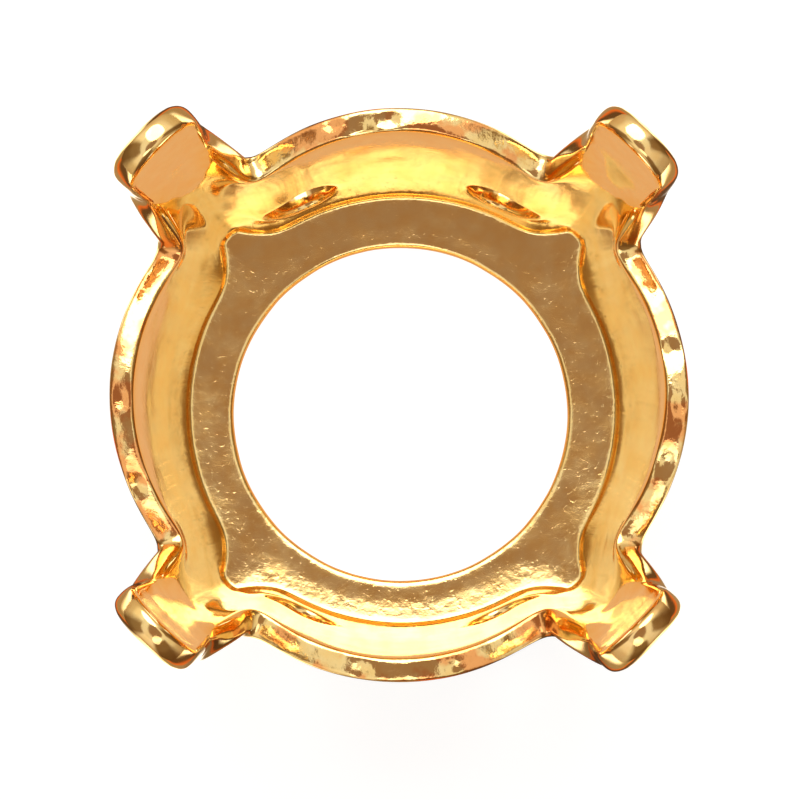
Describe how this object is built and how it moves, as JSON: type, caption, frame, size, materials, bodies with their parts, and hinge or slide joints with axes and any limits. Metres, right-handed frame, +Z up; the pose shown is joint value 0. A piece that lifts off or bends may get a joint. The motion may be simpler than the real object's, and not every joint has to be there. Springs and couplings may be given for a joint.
{
  "type": "sew-on setting",
  "caption": "Round open-backed cup of drawn sheet with petal walls, a scalloped rim, upright prongs for a stone and thread holes through facing walls.",
  "frame": {"origin": "middle of the base's underside", "axes": "+Z up the axis of the cup towards the prongs' tips; the prongs stand at 45 degrees between +X and +Y; the thread holes are in the -Y and +Y walls"},
  "size_m": [0.0072, 0.007, 0.0058],
  "materials": {
    "gold_plate": "bright gold plating on stamped brass sheet, with a sheared rim and a faint grain on the floor"
  },
  "bodies": {
    "root": {"setting": "gold_plate"}
  },
  "joints": []
}
